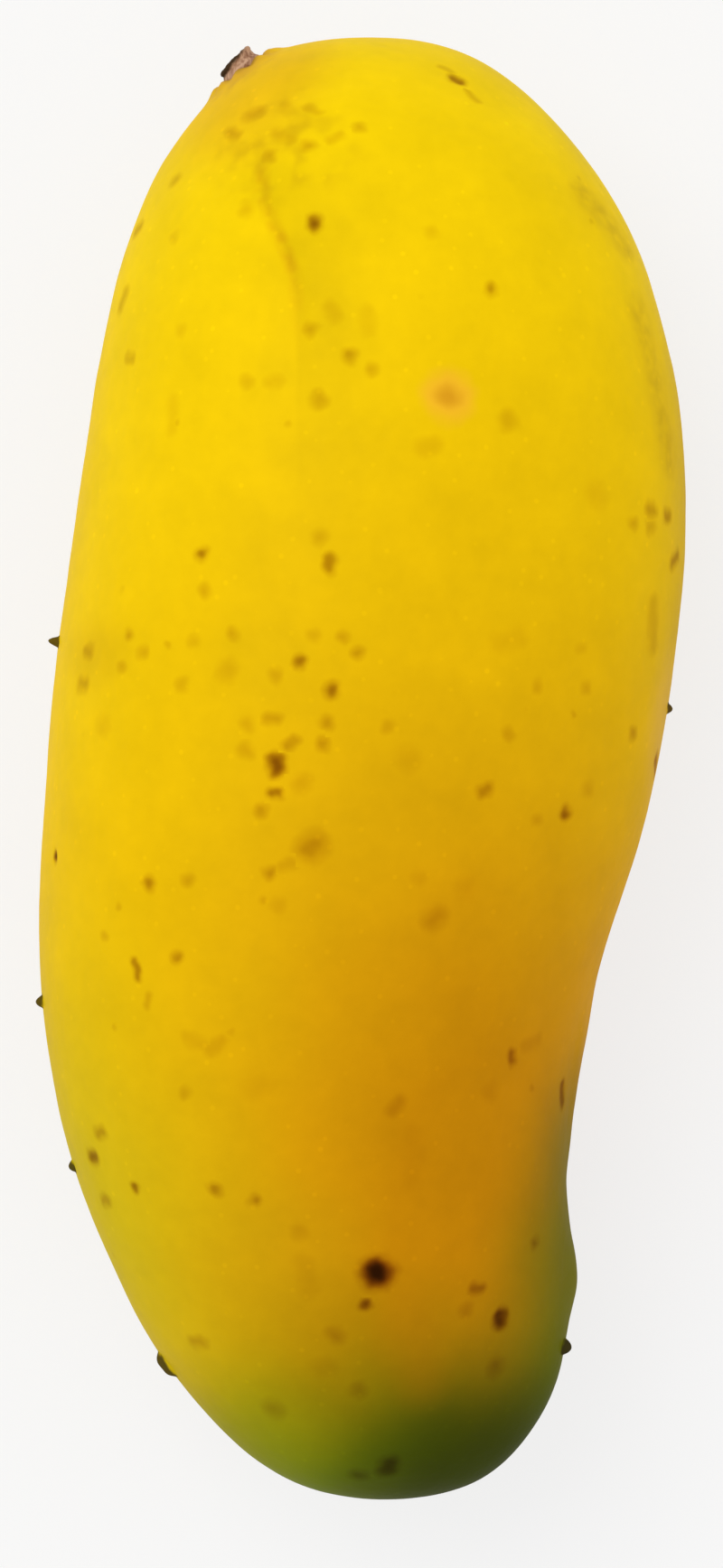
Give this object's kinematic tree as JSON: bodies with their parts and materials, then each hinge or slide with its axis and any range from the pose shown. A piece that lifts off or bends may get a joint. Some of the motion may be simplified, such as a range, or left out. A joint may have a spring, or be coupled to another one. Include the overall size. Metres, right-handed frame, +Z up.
{
  "type": "mango",
  "caption": "Whole ripe mango, long and slightly S-shaped with a blunt beak, lying on its cheek with a short stub of stalk.",
  "frame": {"origin": "on the surface the fruit rests on, below the middle of its box", "axes": "+Z up through the two cheeks, +Y along the fruit to the stalk end, +X to the beak side"},
  "size_m": [0.0708, 0.16, 0.0598],
  "materials": {
    "fruit_skin": "satin",
    "dry_stalk": "matte"
  },
  "bodies": {
    "root": {"mango_fruit": "fruit_skin", "stalk_stub": "dry_stalk"}
  },
  "joints": []
}
